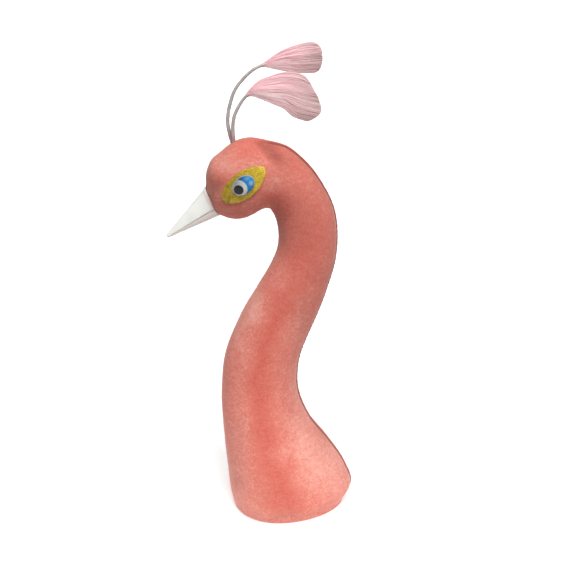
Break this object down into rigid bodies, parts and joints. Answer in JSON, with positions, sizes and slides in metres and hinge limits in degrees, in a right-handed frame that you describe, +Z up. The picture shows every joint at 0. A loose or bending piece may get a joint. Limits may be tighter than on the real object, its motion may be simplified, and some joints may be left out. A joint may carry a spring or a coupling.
{
  "type": "peacock head ornament",
  "caption": "Standing bird's head and neck in coral flock, with a white beak, domed eyes on glitter patches and a crest of pink feathers; a shelf and table decoration",
  "frame": {"origin": "middle of the flat cut underside, on the surface it stands on", "axes": "+Z up, -X the way the bird faces, +Y to the bird's right"},
  "size_m": [0.111, 0.073, 0.284],
  "materials": {
    "coral_flock": "short velvety pile, brushed in patches",
    "white_moulding": "smooth, glossy, off-white",
    "gold_glitter": "coarse yellow-gold glitter on a thin sheet",
    "eye_plastic": "polished dome with a white rim, printed blue and black",
    "feather_barbs": "pale pink dyed barbs on a grey quill"
  },
  "bodies": {
    "root": {"head_and_neck": "coral_flock", "beak": "white_moulding", "eye_patch_left": "gold_glitter", "eye_patch_right": "gold_glitter", "eye_left": "eye_plastic", "eye_right": "eye_plastic", "crest_feather_upper": "feather_barbs", "crest_feather_lower": "feather_barbs"}
  },
  "joints": []
}
